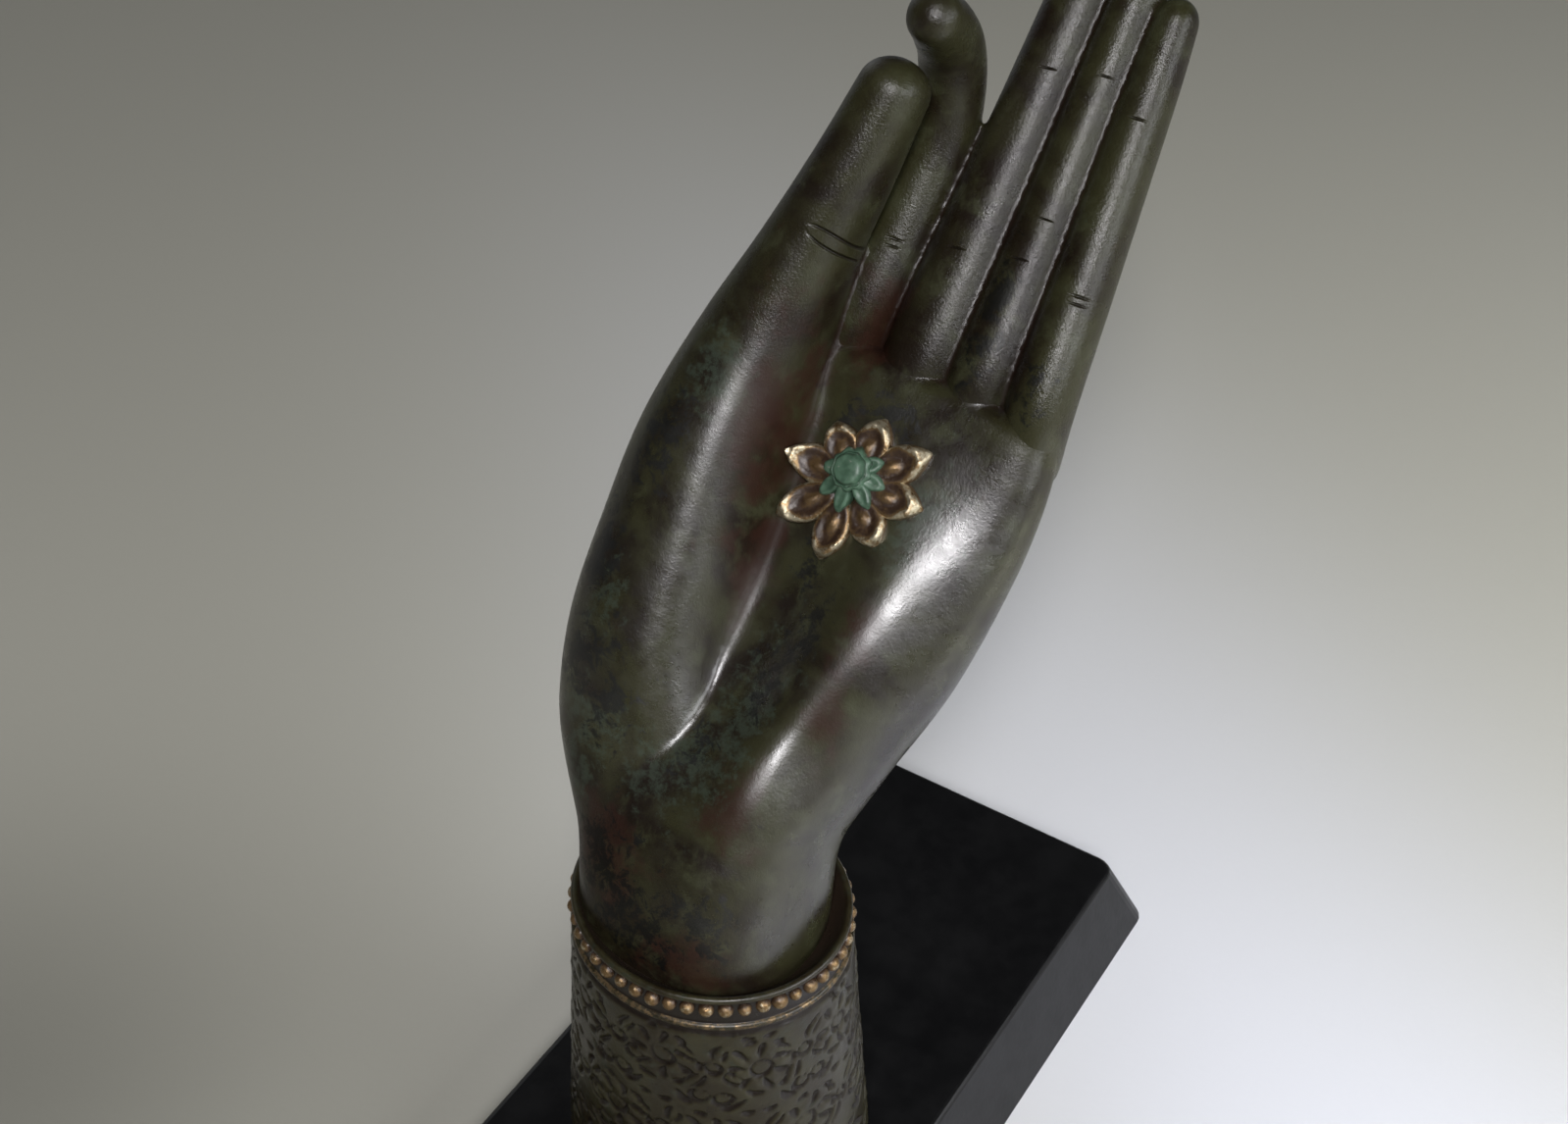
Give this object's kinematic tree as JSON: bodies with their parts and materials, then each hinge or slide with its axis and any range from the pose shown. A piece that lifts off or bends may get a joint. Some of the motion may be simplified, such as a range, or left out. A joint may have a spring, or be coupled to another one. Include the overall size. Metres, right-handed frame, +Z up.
{
  "type": "hand figurine",
  "caption": "Cast hand figurine: raised palm with thumb and forefinger meeting and a flower in the palm, rising from an ornamented sleeve on a tapered plinth.",
  "frame": {"origin": "middle of the plinth's underside, on the surface that it stands on", "axes": "+Z up; the palm faces -Y, the fingers lean back towards +Y, the thumb is on the -X side and the little finger on the +X side"},
  "size_m": [0.1172, 0.2229, 0.3139],
  "materials": {
    "patina": "bronze-coloured patina on cast resin, mottled olive, brown and black, satin lacquer",
    "black_lacquer": "satin black lacquer with small pale chips on the edges",
    "sleeve_paint": "grey-green paint rubbed back over brown in the recesses",
    "gilt": "worn gilt over brown, on beads, rolls and petals",
    "turquoise": "matt turquoise-green paint on the flower's middle",
    "zinc_steel": "zinc-plated"
  },
  "bodies": {
    "root": {"hand_casting": "patina", "plinth": "black_lacquer", "fixing_screw_front": "zinc_steel", "fixing_screw_rear": "zinc_steel"}
  },
  "joints": []
}
